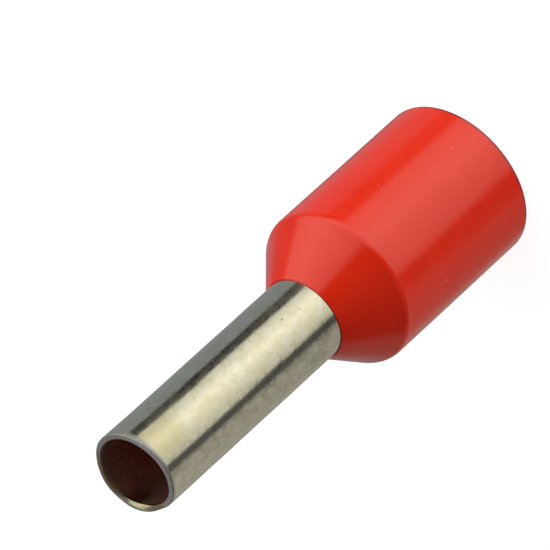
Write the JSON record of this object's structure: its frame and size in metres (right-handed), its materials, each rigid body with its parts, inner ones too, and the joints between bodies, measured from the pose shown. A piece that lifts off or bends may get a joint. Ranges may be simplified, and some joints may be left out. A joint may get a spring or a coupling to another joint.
{
  "type": "wire ferrule",
  "caption": "Insulated wire-end ferrule: a thin tinned metal sleeve flared inside a red plastic collar with a conical shoulder, for crimping onto stranded wire.",
  "frame": {"origin": "centre of the collar's flat open end, which the part stands on", "axes": "+Z along the ferrule's axis, from the open end of the collar to the mouth of the sleeve"},
  "size_m": [0.005, 0.005, 0.0151],
  "materials": {
    "tinned_copper": "bright tin plating, drawn tube, a little mottled",
    "red_plastic": "moulded red plastic, satin gloss"
  },
  "bodies": {
    "root": {"metal_sleeve": "tinned_copper", "insulating_collar": "red_plastic"}
  },
  "joints": []
}
